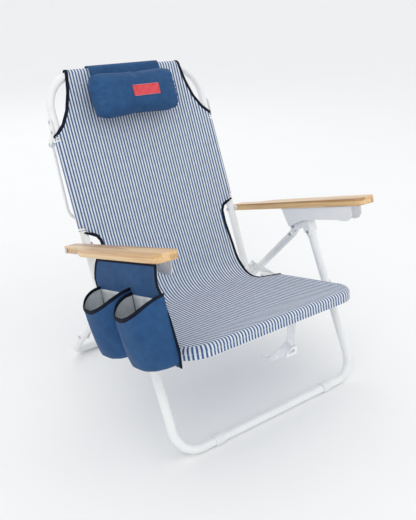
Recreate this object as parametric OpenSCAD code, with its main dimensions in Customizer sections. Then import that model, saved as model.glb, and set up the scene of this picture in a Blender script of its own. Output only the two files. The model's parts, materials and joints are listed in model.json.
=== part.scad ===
// Folding beach chair: sling back and seat, crossed leg frames, wooden arms over
// notched housings, a towel bar, a pillow and a drinks bag on one arm.
// Everything is drawn open, in the upright position, standing on z = 0.

/* [Back] */
// Lean of the back from vertical, degrees
back_tilt = 25; // [23:0.5:27]
// Distance from the seat hinge to the top bar
back_length = 643; // [636:1:650]
// Half distance between the back tubes' centres
back_x = 244; // [243:0.5:245]

/* [Seat] */
// Rise of the seat towards the front, degrees
seat_tilt = 14.5; // [14:0.5:15]
// Distance from the seat hinge to the front bar
seat_length = 428; // [420:1:440]
// Half distance between the seat tubes' centres
seat_x = 262; // [261.5:0.5:262]

/* [Legs] */
// Lean of the front leg frame from vertical, degrees
front_tilt = 28.3; // [27.5:0.1:29]
// Lean of the rear leg frame from vertical, degrees
rear_tilt = 41.7; // [41.5:0.1:42]
// Half distance between the leg tubes' centres
leg_x = 287; // [286.5:0.5:287.5]
// Outer diameter of the leg and back tubes
tube_d = 22; // [21.5:0.5:22]

/* [Arms] */
// Rise of the arms towards the front, degrees
arm_slope = 17.4; // [17:0.1:18]
// Reach of each arm board in front of its pivot
arm_length = 508; // [500:1:515]
// Thickness of the arm boards
arm_thick = 18; // [16:1:19]

/* [Pillow and bag] */
// Length of the pillow
pillow_length = 245; // [220:1:290]
// Depth of the cup pockets below their rims
cup_depth = 135; // [120:1:140]

/* [Hidden] */
$fn = 64;

// Shift that puts the middle of the outline, seen from above, on the origin
mid_x = 35.15;
mid_y = -46.25;

wall = 1.5;
fit = 0.05;
tube_r = tube_d / 2;
white = "white";

// Pivots as [y, z] in the chair's middle plane
hinge = [141, 193];
foot_z = 13;
seat_drop = 25;
seat_r = 9.5;
front_foot = [-279.4, foot_z];
// The front leg crosses the seat tube's axis this far in front of the hinge
leg_pivot_a = ((hinge[0] - seat_drop * sin(seat_tilt) - front_foot[0]) * cos(front_tilt)
  - (hinge[1] - seat_drop * cos(seat_tilt) - foot_z) * sin(front_tilt)) / cos(seat_tilt - front_tilt);
leg_pivot = world([-leg_pivot_a, -seat_drop], hinge, seat_tilt);
leg_pivot_t = (leg_pivot[1] - foot_z) / cos(front_tilt);
knuckle_pivot = [51.3, 435];
lock_pivot = [0, 458];
rear_foot = [280, foot_z];
knuckle_world = world(knuckle_pivot, front_foot, front_tilt);
rear_eye = local(knuckle_world, rear_foot, -rear_tilt);
link_t = 121;
link_world = world([0, link_t], rear_foot, -rear_tilt);
arm_pivot_s = 184.5;
arm_pivot = world([0, arm_pivot_s], hinge, back_tilt);
towel_pivot = [38, 470];

// Radii of the bolts, rivets and pins
hinge_bolt_r = 4;
arm_bolt_r = 3.2;
rivet_r = 2.5;
pin_r = 3;

function world(p, o, tilt) =
  [o[0] + p[0] * cos(tilt) + p[1] * sin(tilt), o[1] - p[0] * sin(tilt) + p[1] * cos(tilt)];
function local(p, o, tilt) =
  [(p[0] - o[0]) * cos(tilt) - (p[1] - o[1]) * sin(tilt),
   (p[0] - o[0]) * sin(tilt) + (p[1] - o[1]) * cos(tilt)];

// ---- places ----
module placed() { translate([mid_x, mid_y, 0]) children(); }
module leaning(o, tilt) { placed() translate([0, o[0], o[1]]) rotate([-tilt, 0, 0]) children(); }
module at_back() { leaning(hinge, back_tilt) children(); }
module at_seat() { leaning(hinge, seat_tilt) children(); }
module at_front_leg() { leaning(front_foot, front_tilt) children(); }
module at_rear_leg() { leaning(rear_foot, -rear_tilt) children(); }
module at_arm() { leaning(arm_pivot, arm_slope) children(); }
module at_towel_bar() {
  at_back() translate([0, towel_pivot[0], towel_pivot[1]]) rotate([184.6, 0, 0]) children();
}
module both_sides() {
  children();
  mirror([1, 0, 0]) children();
}

// ---- shapes ----
// A solid disc or pin along X, from x0 to x1, at [y, z]
module pin_x(x0, x1, r, p = [0, 0]) {
  translate([x0, p[0], p[1]]) rotate([0, 90, 0]) cylinder(h = x1 - x0, r = r);
}
// A flat plate across X, from x0 to x1, with a [y, z] outline
module plate_x(x0, x1) {
  translate([x0, 0, 0]) rotate([90, 0, 90]) linear_extrude(x1 - x0) children();
}
// Two round ends joined by their tangents
module bar_outline(p, q, rp, rq) {
  d = norm(q - p);
  turn = atan2(q[1] - p[1], q[0] - p[0]);
  a = acos((rp - rq) / d);
  translate(p) circle(rp);
  translate(q) circle(rq);
  polygon([
    p + rp * [cos(turn + a), sin(turn + a)], p + rp * [cos(turn - a), sin(turn - a)],
    q + rq * [cos(turn - a), sin(turn - a)], q + rq * [cos(turn + a), sin(turn + a)]
  ]);
}
// A U bent from round bar: the cross bar on z = 0 and two legs up to z = top
module u_bar(half, top, bend, r) {
  pin_x(-(half - bend), half - bend, r);
  both_sides() {
    translate([half, 0, bend]) cylinder(h = top - bend, r = r);
    translate([half - bend, 0, bend]) rotate([90, 0, 0]) rotate([0, 0, -90])
      rotate_extrude(angle = 90) translate([bend, 0]) circle(r);
  }
}
// The same U as a tube with open leg ends
module u_tube(half, top, bend, r) {
  difference() {
    u_bar(half, top, bend, r);
    u_bar(half, top + 1, bend, r - wall);
  }
}
// A rivet or pin with a domeless round head at each end
module headed_pin(x0, x1, r, head_r, head_h, p = [0, 0]) {
  pin_x(x0 - head_h, x0, head_r, p);
  pin_x(x0, x1, r, p);
  pin_x(x1, x1 + head_h, head_r, p);
}

// ---- back ----
back_tail = 6;
back_bend = 95;
module back_frame() {
  color(white) at_back() difference() {
    translate([0, 0, back_length]) mirror([0, 0, 1])
      u_tube(back_x, back_length + back_tail, back_bend, tube_r);
    both_sides() {
      pin_x(back_x - 20, back_x + 20, hinge_bolt_r + fit);
      pin_x(back_x - 20, back_x + 20, arm_bolt_r + fit, [0, arm_pivot_s]);
      for (s = bracket_rivet_s) pin_x(back_x, back_x + 20, rivet_r + fit, [0, s]);
    }
  }
}
module back_end_plugs() {
  color("gainsboro") at_back() both_sides() translate([back_x, 0, -back_tail - 2])
    cylinder(h = 2, r = tube_r);
}

sling_thick = 3;
sling_gap = 0.5;
sling_back_y = -tube_r - sling_gap;
back_sling_half = [
  [225, 22], [210, 75], [204, 188], [214, 208], [254, 222], [254, 474],
  [225, 508], [204, 544], [188, 592], [180, 633], [176, 649]
];
function mirrored(half) =
  concat(half, [for (i = [len(half) - 1:-1:0]) [-half[i][0], half[i][1]]]);
module back_sling() {
  color("lightsteelblue") at_back() translate([0, sling_back_y, 0]) rotate([90, 0, 0])
    linear_extrude(sling_thick) polygon(mirrored(back_sling_half));
}

pillow_r = 35;
pillow_y = sling_back_y - sling_thick - 0.5 - pillow_r;
pillow_low = 535;
pillow_high = 588;
pillow_mid = -13;
module pillow() {
  color("steelblue") at_back() plate_x(pillow_mid - pillow_length / 2, pillow_mid + pillow_length / 2)
    bar_outline([pillow_y, pillow_low], [pillow_y, pillow_high], pillow_r, pillow_r);
}
flap_r = 17.5;
flap_thick = 2;
flap_half = 112;
flap_mid = -3;
module pillow_flap() {
  color("steelblue") at_back() plate_x(flap_mid - flap_half, flap_mid + flap_half) translate([0, back_length]) {
    difference() {
      circle(flap_r + flap_thick);
      circle(flap_r);
      translate([-30, -60]) square([60, 60]);
    }
    translate([-flap_r - flap_thick, -33]) square([flap_thick, 33]);
    translate([flap_r, -115]) square([flap_thick, 115]);
  }
}
module pillow_label() {
  color("tomato") at_back() translate([-35, pillow_y - pillow_r - 1.5, 543]) cube([82, 1.2, 30]);
}

// ---- towel bar ----
bracket_x = back_x + tube_r + 0.5;
bracket_thick = 2.5;
bracket_rivet_s = [494, 522];
towel_x = back_x + 6;
towel_r = 4;
towel_pin_r = 2.5;
module towel_brackets() {
  color(white) at_back() both_sides() difference() {
    plate_x(bracket_x, bracket_x + bracket_thick) {
      bar_outline([0, bracket_rivet_s[1]], [0, bracket_rivet_s[0]], 10, 10);
      bar_outline([0, bracket_rivet_s[0]], towel_pivot, 10, 8);
    }
    pin_x(bracket_x - 1, bracket_x + 9, towel_pin_r + fit, towel_pivot);
    for (s = bracket_rivet_s) pin_x(bracket_x - 1, bracket_x + 9, rivet_r + fit, [0, s]);
  }
}
module bracket_rivets() {
  color("dimgray") at_back() both_sides() for (s = bracket_rivet_s) {
    pin_x(bracket_x - 6, bracket_x + bracket_thick + 0.1, rivet_r, [0, s]);
    pin_x(bracket_x + bracket_thick + 0.1, bracket_x + bracket_thick + 1.3, 4.5, [0, s]);
  }
}
towel_reach = 215;
towel_bend = 40;
module towel_bar() {
  color(white) at_towel_bar() difference() {
    union() {
      translate([0, 0, towel_reach]) mirror([0, 0, 1])
        u_bar(towel_x, towel_reach - 1, towel_bend, towel_r);
      both_sides() pin_x(towel_x - towel_r, towel_x + towel_r, 7);
    }
    both_sides() pin_x(towel_x - 9, towel_x + 9, towel_pin_r + fit);
  }
}
module towel_bar_pins() {
  color("dimgray") at_back() both_sides() {
    pin_x(towel_x - 5.5, bracket_x + bracket_thick + 0.1, towel_pin_r, towel_pivot);
    pin_x(towel_x - 7, towel_x - 5.5, 4.5, towel_pivot);
    pin_x(bracket_x + bracket_thick + 0.1, bracket_x + bracket_thick + 1.3, 4.5, towel_pivot);
  }
}

// ---- seat ----
seat_bend = 60;
seat_tail = 55;
tab_x = seat_x + seat_r + 0.2;
tab_thick = 1.8;
tab_rivet_a = [68, 92];
module seat_frame() {
  color(white) at_seat() translate([0, -seat_length, -seat_drop]) rotate([-90, 0, 0]) difference() {
    u_tube(seat_x, seat_length - seat_tail, seat_bend, seat_r);
    both_sides() {
      pin_x(seat_x - 20, seat_x + 20, pin_r + fit, [0, seat_length - leg_pivot_a]);
      for (a = tab_rivet_a) pin_x(seat_x - 20, seat_x + 20, rivet_r + fit, [0, seat_length - a]);
    }
  }
}
seat_sling_half = [
  [206, 84], [212, 104], [258, 132], [272, 300], [272, 394], [264, 420], [240, 441]
];
seat_sling_z = -seat_drop + seat_r + sling_gap;
module seat_sling() {
  color("lightsteelblue") at_seat() {
    translate([0, 0, seat_sling_z]) linear_extrude(sling_thick)
      polygon([for (p = mirrored(seat_sling_half)) [p[0], -p[1]]]);
    translate([-240, -441, -seat_drop - 13]) cube([480, 2.8, 13 + seat_r + sling_gap + 1]);
  }
}
module hinge_tabs() {
  color("gainsboro") at_seat() both_sides() difference() {
    plate_x(tab_x, tab_x + tab_thick)
      bar_outline([0, 0], [-tab_rivet_a[1] - 2, -seat_drop], 11, 9);
    pin_x(tab_x - 1, tab_x + 5, hinge_bolt_r + fit);
    for (a = tab_rivet_a) pin_x(tab_x - 1, tab_x + 5, rivet_r + fit, [-a, -seat_drop]);
  }
}
// Their outer ends are hammered flush, so that the links pass
module tab_rivets() {
  color("dimgray") at_seat() both_sides() for (a = tab_rivet_a) {
    pin_x(seat_x - seat_r - 0.1, tab_x + tab_thick, rivet_r, [-a, -seat_drop]);
    pin_x(seat_x - seat_r - 1.3, seat_x - seat_r - 0.1, 4.5, [-a, -seat_drop]);
  }
}

// ---- rear links: one plate a side, from the seat hinge to the inside of the rear leg ----
link_thick = 1.8;
link_gap = 0.4;
link_in_x = leg_x - tube_r - link_gap - link_thick;
link_out_x = link_in_x + link_thick;
link_hinge_r = 12;
link_foot_r = 11;
module link_plates() {
  color("lightgray") placed() both_sides() difference() {
    plate_x(link_in_x, link_out_x) bar_outline(hinge, link_world, link_hinge_r, link_foot_r);
    pin_x(link_in_x - 1, link_out_x + 1, hinge_bolt_r + fit, hinge);
    pin_x(link_in_x - 1, link_out_x + 1, pin_r + fit, link_world);
  }
}
// Each rivet rides in the rear leg's tube, and its inner end stops just short of the plate
module link_rivets() {
  color("dimgray") at_rear_leg() both_sides() {
    pin_x(link_out_x + 0.1, leg_x + tube_r + 0.2, pin_r, [0, link_t]);
    pin_x(leg_x + tube_r + 0.2, leg_x + tube_r + 2, 5, [0, link_t]);
  }
}
hinge_nut_h = 4;
// The bolts' outer ends are riveted flush with the links, so that the rear legs pass
module hinge_bolts() {
  color("silver") placed() both_sides()
    pin_x(back_x - tube_r - hinge_nut_h - 1, link_out_x, hinge_bolt_r, hinge);
}
module hinge_nuts() {
  x0 = back_x - tube_r - hinge_nut_h - 0.2;
  color("silver") placed() both_sides() difference() {
    translate([x0, hinge[0], hinge[1]]) rotate([0, 90, 0]) cylinder(h = hinge_nut_h, r = 7, $fn = 6);
    pin_x(x0 - 1, x0 + hinge_nut_h + 1, hinge_bolt_r + fit, hinge);
  }
}
module hinge_spacers() {
  x0 = back_x + tube_r + 0.2;
  color("gainsboro") placed() both_sides() difference() {
    pin_x(x0, tab_x - 0.2, 6.5, hinge);
    pin_x(x0 - 1, tab_x + 1, hinge_bolt_r + fit, hinge);
  }
}
module leg_pivot_rivets() {
  color("dimgray") placed() both_sides()
    headed_pin(seat_x - seat_r - 0.2, leg_x + tube_r + 0.2, pin_r, 5.5, 1.8, leg_pivot);
}
module leg_spacers() {
  x0 = seat_x + seat_r + 0.2;
  x1 = leg_x - tube_r - 0.2;
  color("gainsboro") placed() both_sides() difference() {
    pin_x(x0, x1, 6.5, leg_pivot);
    pin_x(x0 - 1, x1 + 1, pin_r + fit, leg_pivot);
  }
}

// ---- carry strap, sewn under the sling behind the front bar ----
strap_x = 43;
strap_w = 26;
strap_drop = 118;
strap_tail = 76;
strap_top = [-seat_length + seat_r + 0.6, -seat_drop + seat_r - 1];
module carry_strap() {
  color(white) at_seat() translate([strap_x, strap_top[0], strap_top[1]]) rotate([seat_tilt, 0, 0]) {
    translate([0, 0, -strap_drop]) cube([strap_w, 1.6, strap_drop]);
    translate([-strap_tail, 0, -strap_drop + 20]) cube([strap_tail, 1.6, 22]);
  }
}
module strap_buckle() {
  color(white) at_seat() translate([strap_x, strap_top[0], strap_top[1]]) rotate([seat_tilt, 0, 0])
    difference() {
      translate([-4, -4.5, -strap_drop - 10]) cube([strap_w + 8, 4, 22]);
      translate([3, -6, -strap_drop - 4]) cube([strap_w - 6, 8, 10]);
    }
}

// ---- front leg frame, with the knuckles on its tops ----
front_top = knuckle_pivot[1] - 8;
front_bend = 62;
rear_bend = 42;
module front_leg_frame() {
  color(white) at_front_leg() difference() {
    u_tube(leg_x, front_top, front_bend, tube_r);
    both_sides() {
      pin_x(leg_x - 20, leg_x + 20, pin_r + fit, [0, leg_pivot_t]);
      pin_x(leg_x - 20, leg_x + 20, rivet_r + fit, [0, knuckle_rivet_t]);
    }
  }
}
knuckle_half = 13.5;
knuckle_skirt = front_top - 30;
knuckle_rivet_t = front_top - 18;
eye_half = 6;
eye_r = 12;
module knuckle() {
  at_front_leg() difference() {
    union() {
      translate([leg_x, 0, knuckle_skirt]) cylinder(h = lock_pivot[1] - knuckle_skirt, r = knuckle_half);
      plate_x(leg_x - knuckle_half, leg_x + knuckle_half) {
        bar_outline([0, lock_pivot[1] - 6], knuckle_pivot, 13, 12);
        bar_outline([0, lock_pivot[1] - 6], [0, lock_pivot[1] - 40], 13, 13);
      }
    }
    translate([leg_x, 0, knuckle_skirt - 1]) cylinder(h = front_top - knuckle_skirt + 1.1, r = tube_r + fit);
    plate_x(leg_x - eye_half - 0.3, leg_x + eye_half + 0.3)
      bar_outline(knuckle_pivot, knuckle_pivot + [26, -10], eye_r + 4, eye_r + 4);
    pin_x(leg_x - 20, leg_x + 20, pin_r + fit, knuckle_pivot);
    pin_x(leg_x - 20, leg_x + 20, pin_r + fit, lock_pivot);
    pin_x(leg_x - 20, leg_x + 20, rivet_r + fit, [0, knuckle_rivet_t]);
  }
}
module knuckle_right() { color("whitesmoke") knuckle(); }
module knuckle_left() { color("whitesmoke") placed() mirror([1, 0, 0]) translate([-mid_x, -mid_y, 0]) knuckle(); }
module knuckle_rivets() {
  color("dimgray") at_front_leg() both_sides()
    headed_pin(leg_x - knuckle_half - 0.1, leg_x + knuckle_half + 0.1, rivet_r, 4.5, 1, [0, knuckle_rivet_t]);
}
module knuckle_pivots() {
  color("dimgray") at_front_leg() both_sides()
    headed_pin(leg_x - knuckle_half - 0.1, leg_x + knuckle_half + 0.1, pin_r, 5, 1, knuckle_pivot);
}
module lock_pins() {
  color("silver") at_front_leg() both_sides()
    pin_x(leg_x - knuckle_half - 2, leg_x + knuckle_half + 2, pin_r, lock_pivot);
}
// Plastic sleeves on the floor bar, flat where they stand
glide_r = 13.8;
glide_w = 24;
glide_inset = 35;
module glides(half, bend, tilt) {
  x1 = half - bend - glide_inset;
  both_sides() difference() {
    pin_x(x1 - glide_w, x1, glide_r);
    pin_x(x1 - glide_w - 1, x1 + 1, tube_r + fit);
    rotate([tilt, 0, 0]) translate([half - 150, -30, -foot_z - 20]) cube([150, 60, 20]);
  }
}
module front_glides() { color("gainsboro") at_front_leg() glides(leg_x, front_bend, front_tilt); }

// ---- rear leg frame, with the eyes on its tops ----
rear_top = rear_eye[1] - 22;
rear_rivet_t = rear_top - 9;
module rear_leg_frame() {
  color(white) at_rear_leg() difference() {
    u_tube(leg_x, rear_top, rear_bend, tube_r);
    both_sides() {
      pin_x(leg_x - 20, leg_x + 20, rivet_r + fit, [0, rear_rivet_t]);
      pin_x(leg_x - 20, leg_x + 20, pin_r + fit, [0, link_t]);
    }
  }
}
module rear_leg_ends() {
  color("whitesmoke") at_rear_leg() both_sides() difference() {
    union() {
      translate([leg_x, 0, rear_top - 22]) cylinder(h = 22, r = tube_r - wall - fit);
      plate_x(leg_x - eye_half, leg_x + eye_half)
        bar_outline([0, rear_top + 7], rear_eye, 8, eye_r - 1);
    }
    pin_x(leg_x - 20, leg_x + 20, pin_r + fit, rear_eye);
    pin_x(leg_x - 20, leg_x + 20, rivet_r + fit, [0, rear_rivet_t]);
  }
}
module rear_end_rivets() {
  color("dimgray") at_rear_leg() both_sides()
    headed_pin(leg_x - tube_r - 0.1, leg_x + tube_r + 0.1, rivet_r, 4.5, 1, [0, rear_rivet_t]);
}
module rear_glides() { color("gainsboro") at_rear_leg() glides(leg_x, rear_bend, -rear_tilt); }

// ---- arms ----
arm_in_x = 265;
arm_out_x = 323;
arm_tab_x = 303;
arm_tail = 20;
arm_nut_h = 3;
arm_corner = 16;
// Outline seen from above, as [x, distance in front of the pivot]
module arm_outline() {
  polygon([
    [arm_in_x, -arm_tail + 9], [arm_tab_x, -arm_tail + 9], [arm_tab_x, 70],
    [arm_out_x - 9, 100], [arm_out_x, 135], [arm_out_x, arm_length - arm_corner],
    [arm_out_x - arm_corner, arm_length], [arm_in_x + arm_corner, arm_length],
    [arm_in_x, arm_length - arm_corner]
  ]);
  translate([arm_in_x + 9, -arm_tail + 9]) circle(9);
  translate([arm_tab_x - 9, -arm_tail + 9]) circle(9);
  translate([arm_in_x + 9, -arm_tail]) square([arm_tab_x - arm_in_x - 18, 10]);
  for (x = [arm_in_x + arm_corner, arm_out_x - arm_corner])
    translate([x, arm_length - arm_corner]) circle(arm_corner);
}
module arm_board() {
  at_arm() difference() {
    translate([0, 0, -arm_thick / 2]) mirror([0, 1, 0]) linear_extrude(arm_thick) arm_outline();
    pin_x(arm_in_x - 1, arm_out_x, arm_bolt_r + fit);
    for (p = housing_screws) translate([p[0], -p[1], -arm_thick]) cylinder(h = arm_thick, r = 1.7);
  }
}
module arm_board_right() { color("burlywood") arm_board(); }
module arm_board_left() { color("burlywood") placed() mirror([1, 0, 0]) translate([-mid_x, -mid_y, 0]) arm_board(); }

// Housing: a channel open below and at the front, with a notched rack each side
housing_rear = 226;
housing_front = 470;
housing_in_x = 268;
housing_out_x = 306.5;
housing_wall = 2.2;
housing_top = -arm_thick / 2 - 0.1;
rack_w = 4;
flange_out_x = 314.4;
housing_screws = [[310.5, 260], [310.5, 350], [310.5, 440]];
rack_z = -27;
notch_first = 285;
notch_pitch = 36;
notch_r = 4;
module housing_side_outline() {
  polygon([
    [-housing_rear + 18, housing_top], [-housing_rear + 9, -34], [-housing_rear - 1, -60],
    [-housing_rear - 10, -61], [-housing_rear - 24, -55], [-housing_rear - 62, -45.5],
    [-housing_rear - 110, -43], [-housing_front + 54, -45], [-housing_front + 22, -49],
    [-housing_front + 8, -45], [-housing_front, -34], [-housing_front, housing_top]
  ]);
}
module arm_housing() {
  at_arm() difference() {
    union() {
      plate_x(housing_in_x, housing_in_x + housing_wall) housing_side_outline();
      plate_x(housing_out_x - housing_wall, housing_out_x) housing_side_outline();
      translate([housing_in_x, -housing_front, housing_top - 3])
        cube([housing_out_x - housing_in_x, housing_front - housing_rear + 10, 3]);
      translate([housing_out_x - 1, -housing_front + 10, housing_top - 3])
        cube([flange_out_x - housing_out_x + 1, housing_front - housing_rear - 10, 3]);
      for (x = [housing_in_x + 1, housing_out_x - rack_w - 1])
        translate([x, -housing_front + 18, rack_z])
          cube([rack_w, housing_front - housing_rear - 20, -rack_z + housing_top - 1]);
    }
    for (i = [0:4]) for (x = [housing_in_x + housing_wall, housing_out_x - housing_wall - rack_w])
      pin_x(x, x + rack_w, notch_r, [-notch_first - i * notch_pitch, rack_z]);
    for (p = housing_screws) translate([p[0], -p[1], -30]) cylinder(h = 30, r = 1.8);
  }
}
module arm_housing_right() { color("white") arm_housing(); }
module arm_housing_left() { color("white") placed() mirror([1, 0, 0]) translate([-mid_x, -mid_y, 0]) arm_housing(); }
module arm_screws() {
  at_arm() for (p = housing_screws) translate([p[0], -p[1], 0]) {
    translate([0, 0, housing_top - 4.8]) cylinder(h = 1.7, r = 3.6);
    translate([0, 0, housing_top - 3.2]) cylinder(h = 12, r = 1.65);
  }
}
module arm_screws_right() { color("silver") arm_screws(); }
module arm_screws_left() { color("silver") placed() mirror([1, 0, 0]) translate([-mid_x, -mid_y, 0]) arm_screws(); }

module arm_bolts() {
  color("silver") placed() both_sides() {
    pin_x(back_x - tube_r - arm_nut_h - 1, arm_tab_x + 0.4, arm_bolt_r, arm_pivot);
    pin_x(arm_tab_x + 0.4, arm_tab_x + 2.4, 6, arm_pivot);
  }
}
module arm_nuts() {
  x0 = back_x - tube_r - arm_nut_h - 0.2;
  color("silver") placed() both_sides() difference() {
    translate([x0, arm_pivot[0], arm_pivot[1]]) rotate([0, 90, 0]) cylinder(h = arm_nut_h, r = 6, $fn = 6);
    pin_x(x0 - 1, x0 + 5, arm_bolt_r + fit, arm_pivot);
  }
}
module arm_spacers() {
  color("gainsboro") placed() both_sides() difference() {
    pin_x(back_x + tube_r + 0.2, arm_in_x - 0.2, 8, arm_pivot);
    pin_x(back_x, arm_in_x + 1, arm_bolt_r + fit, arm_pivot);
  }
}

// ---- drinks bag, hung from the outer edge of the left arm ----
// Outlines are [distance in front of the arm pivot, depth below its centre line]
panel_x = 315;
panel_thick = 2;
panel_outline = [
  [215, 12.4], [487, 12.4], [478, 50], [490, 70], [505, 125], [519, 190], [508, 222],
  [470, 232], [215, 232], [196, 215], [190, 120], [180, 62]
];
stud_a = [240, 350, 455];
stud_depth = 22;
stud_bite = 1.2;
cup_r = 40;
cup_half = 38;
cup_wall = 3;
cup_stand_out = 36;
module bag_panel() {
  color("steelblue") at_arm() difference() {
    plate_x(-panel_x - panel_thick, -panel_x) polygon([for (p = panel_outline) [-p[0], -p[1]]]);
    for (a = stud_a) pin_x(-panel_x - stud_bite - fit, -panel_x + 1, 2 + fit, [-a, -stud_depth]);
  }
}
// Studs moulded on the housing's side, caught in the panel's hidden face
module bag_studs() {
  color("silver") at_arm() for (a = stud_a)
    pin_x(-panel_x - stud_bite, -housing_out_x - 0.2, 2, [-a, -stud_depth]);
}
module cup_outline(grow) {
  difference() {
    bar_outline([cup_stand_out, -cup_half], [cup_stand_out, cup_half], cup_r + grow, cup_r + grow);
    translate([-200 - grow, -200]) square([200, 400]);
  }
}
module cup_pocket(a, top) {
  at_arm() translate([-panel_x - panel_thick - 0.3, -a, -top - cup_depth]) mirror([1, 0, 0])
    difference() {
      linear_extrude(cup_depth) cup_outline(0);
      translate([0, 0, cup_wall]) linear_extrude(cup_depth) cup_outline(-cup_wall);
    }
}
module cup_pocket_rear() { color("steelblue") cup_pocket(280, 90); }
module cup_pocket_front() { color("steelblue") cup_pocket(437, 90); }

back_frame();
back_end_plugs();
back_sling();
pillow();
pillow_flap();
pillow_label();
towel_brackets();
bracket_rivets();
towel_bar();
towel_bar_pins();
seat_frame();
seat_sling();
hinge_tabs();
tab_rivets();
hinge_bolts();
hinge_nuts();
hinge_spacers();
leg_pivot_rivets();
leg_spacers();
carry_strap();
strap_buckle();
front_leg_frame();
knuckle_left();
knuckle_right();
knuckle_rivets();
knuckle_pivots();
lock_pins();
front_glides();
rear_leg_frame();
rear_leg_ends();
rear_end_rivets();
rear_glides();
link_plates();
link_rivets();
arm_bolts();
arm_nuts();
arm_spacers();
arm_board_left();
arm_board_right();
arm_housing_left();
arm_housing_right();
arm_screws_left();
arm_screws_right();
bag_panel();
bag_studs();
cup_pocket_front();
cup_pocket_rear();
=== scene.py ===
# A folding beach chair: tube frames, a striped sling, wooden arms, a pillow and a drinks bag.
import json
from math import atan2, cos, pi, radians, sin

import bmesh
import bpy
from mathutils import Matrix, Vector


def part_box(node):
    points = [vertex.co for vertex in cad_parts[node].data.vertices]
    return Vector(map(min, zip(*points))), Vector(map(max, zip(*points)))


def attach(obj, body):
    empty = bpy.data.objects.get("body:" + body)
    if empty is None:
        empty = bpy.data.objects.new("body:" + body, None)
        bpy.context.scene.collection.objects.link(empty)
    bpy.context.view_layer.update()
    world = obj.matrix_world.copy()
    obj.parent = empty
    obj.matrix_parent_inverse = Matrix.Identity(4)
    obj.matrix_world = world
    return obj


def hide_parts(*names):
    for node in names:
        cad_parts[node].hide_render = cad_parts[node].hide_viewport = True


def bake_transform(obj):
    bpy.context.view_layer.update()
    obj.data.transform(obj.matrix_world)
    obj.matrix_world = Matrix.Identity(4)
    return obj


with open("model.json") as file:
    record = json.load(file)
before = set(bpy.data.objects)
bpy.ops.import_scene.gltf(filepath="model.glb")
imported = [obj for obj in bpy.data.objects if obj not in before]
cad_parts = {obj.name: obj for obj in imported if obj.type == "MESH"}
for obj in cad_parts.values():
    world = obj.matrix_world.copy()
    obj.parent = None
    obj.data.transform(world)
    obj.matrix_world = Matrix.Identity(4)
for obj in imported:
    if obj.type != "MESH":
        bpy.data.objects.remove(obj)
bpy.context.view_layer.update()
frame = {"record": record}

# ---- Camera, floor and light ----
# A plain pale studio floor under a large soft key light, a fill and an even pale sky.
pivots = {j["name"]: Vector(j["pos_m"]) for j in frame["record"]["behaviour"]["joints"]}
hinge = pivots["fold"]
# The chair's own zero, on the floor in its middle plane
chair_zero = Vector((hinge.x, hinge.y - 0.141, 0))


def aim(obj, place, target):
    obj.location = place
    obj.rotation_euler = (target - place).to_track_quat("-Z", "Y").to_euler()
    bpy.context.scene.collection.objects.link(obj)


view_turn, view_lift, view_distance = radians(-36.25), radians(23.55), 1.6805
look_at = chair_zero + Vector((0, 0, 0.35))
away = Vector((sin(view_turn) * cos(view_lift), -cos(view_turn) * cos(view_lift), sin(view_lift)))
camera_data = bpy.data.cameras.new("camera")
camera_data.sensor_fit = "VERTICAL"
camera_data.sensor_height = 36
camera_data.lens = 44.11
camera_data.shift_x = -0.002
camera_data.shift_y = -0.013
camera = bpy.data.objects.new("camera", camera_data)
aim(camera, look_at + view_distance * away, look_at)
bpy.context.scene.camera = camera

for name, place, size, power in (("key", (-2.6, -2.2, 3.4), 2.6, 24), ("fill", (3.2, -2.4, 2.2), 3.0, 9),
                                 ("rim", (0.8, 3.2, 2.8), 2.4, 12)):
    lamp = bpy.data.lights.new(name, "AREA")
    lamp.size = size
    lamp.energy = power
    aim(bpy.data.objects.new(name, lamp), chair_zero + Vector(place), look_at)
world = bpy.data.worlds.new("studio")
world.use_nodes = True
world.node_tree.nodes["Background"].inputs["Color"].default_value = (0.93, 0.94, 0.95, 1)
world.node_tree.nodes["Background"].inputs["Strength"].default_value = 1.02
bpy.context.scene.world = world
bpy.context.scene.view_settings.view_transform = "Standard"


def new_material(name, rough=0.6, **sockets):
    """A material with one Principled shader; sockets are constant values by socket name."""
    mat = bpy.data.materials.new(name)
    mat.use_nodes = True
    shader = mat.node_tree.nodes["Principled BSDF"]
    shader.inputs["Roughness"].default_value = rough
    for key, value in sockets.items():
        shader.inputs[key.replace("_", " ")].default_value = value
    return mat, mat.node_tree, shader


def add(tree, kind, links=(), **values):
    """Adds a node; links are (input, socket) pairs and values are its properties."""
    n = tree.nodes.new(kind)
    for key, value in values.items():
        setattr(n, key, value)
    for key, value in links:
        if isinstance(value, bpy.types.NodeSocket):
            tree.links.new(value, n.inputs[key])
        else:
            n.inputs[key].default_value = value
    return n


def math(tree, operation, a, b=0.5):
    return add(tree, "ShaderNodeMath", [(0, a), (1, b)], operation=operation).outputs[0]


def ramp(tree, value, *stops):
    n = add(tree, "ShaderNodeValToRGB", [(0, value)])
    while len(n.color_ramp.elements) < len(stops):
        n.color_ramp.elements.new(0.5)
    for element, (at, colour) in zip(n.color_ramp.elements, stops):
        element.position = at
        element.color = (*colour, 1)
    return n.outputs[0]


def bump(tree, shader, height, strength, depth):
    n = add(tree, "ShaderNodeBump", [("Height", height), ("Strength", strength), ("Distance", depth)])
    tree.links.new(n.outputs[0], shader.inputs["Normal"])


def noise(tree, vector, scale, detail=3.0):
    inputs = [("Vector", vector), ("Scale", scale), ("Detail", detail)]
    return add(tree, "ShaderNodeTexNoise", inputs).outputs[0]


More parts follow.
